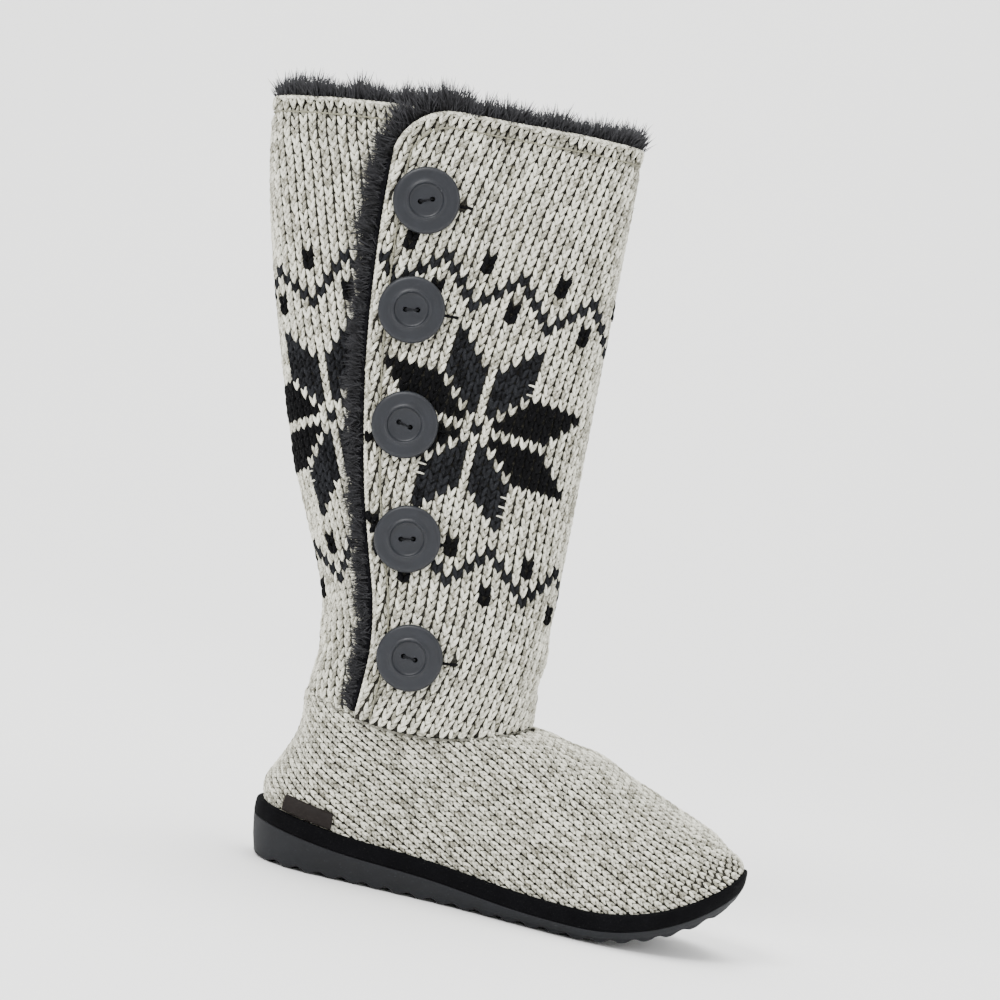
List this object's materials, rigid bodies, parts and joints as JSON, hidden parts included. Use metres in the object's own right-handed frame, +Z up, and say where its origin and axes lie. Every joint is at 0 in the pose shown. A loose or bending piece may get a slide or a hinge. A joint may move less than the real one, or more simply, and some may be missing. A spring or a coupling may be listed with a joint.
{
  "type": "mukluk boot",
  "caption": "Knitted mid-calf mukluk boot for the right foot: hollow knit upper and leg with buttoned flap, pile lining edge, felt band and rippled foam sole.",
  "frame": {"origin": "on the ground under the middle of the whole boot's box", "axes": "+X towards the toe, +Z up, the buttoned outer side towards -Y"},
  "size_m": [0.337, 0.1002, 0.4219],
  "materials": {
    "foam_sole": "matt moulded foam, dark grey",
    "felt_band": "black felt",
    "insole_pad": "dark pile covered pad",
    "knit": "melange wool knit with charcoal pattern",
    "pile": "charcoal pile",
    "button": "slate grey, semi matt",
    "thread": "dark thread",
    "label": "dark woven tape, blank"
  },
  "bodies": {
    "root": {"outsole": "foam_sole", "midsole": "felt_band", "insole": "insole_pad", "upper": "knit", "shaft": "knit", "collar_fur": "pile", "placket_fur": "pile", "label": "label", "button_1": "button", "button_thread_1": "thread", "button_2": "button", "button_thread_2": "thread", "button_3": "button", "button_thread_3": "thread", "button_4": "button", "button_thread_4": "thread", "button_5": "button", "button_thread_5": "thread"}
  },
  "joints": []
}
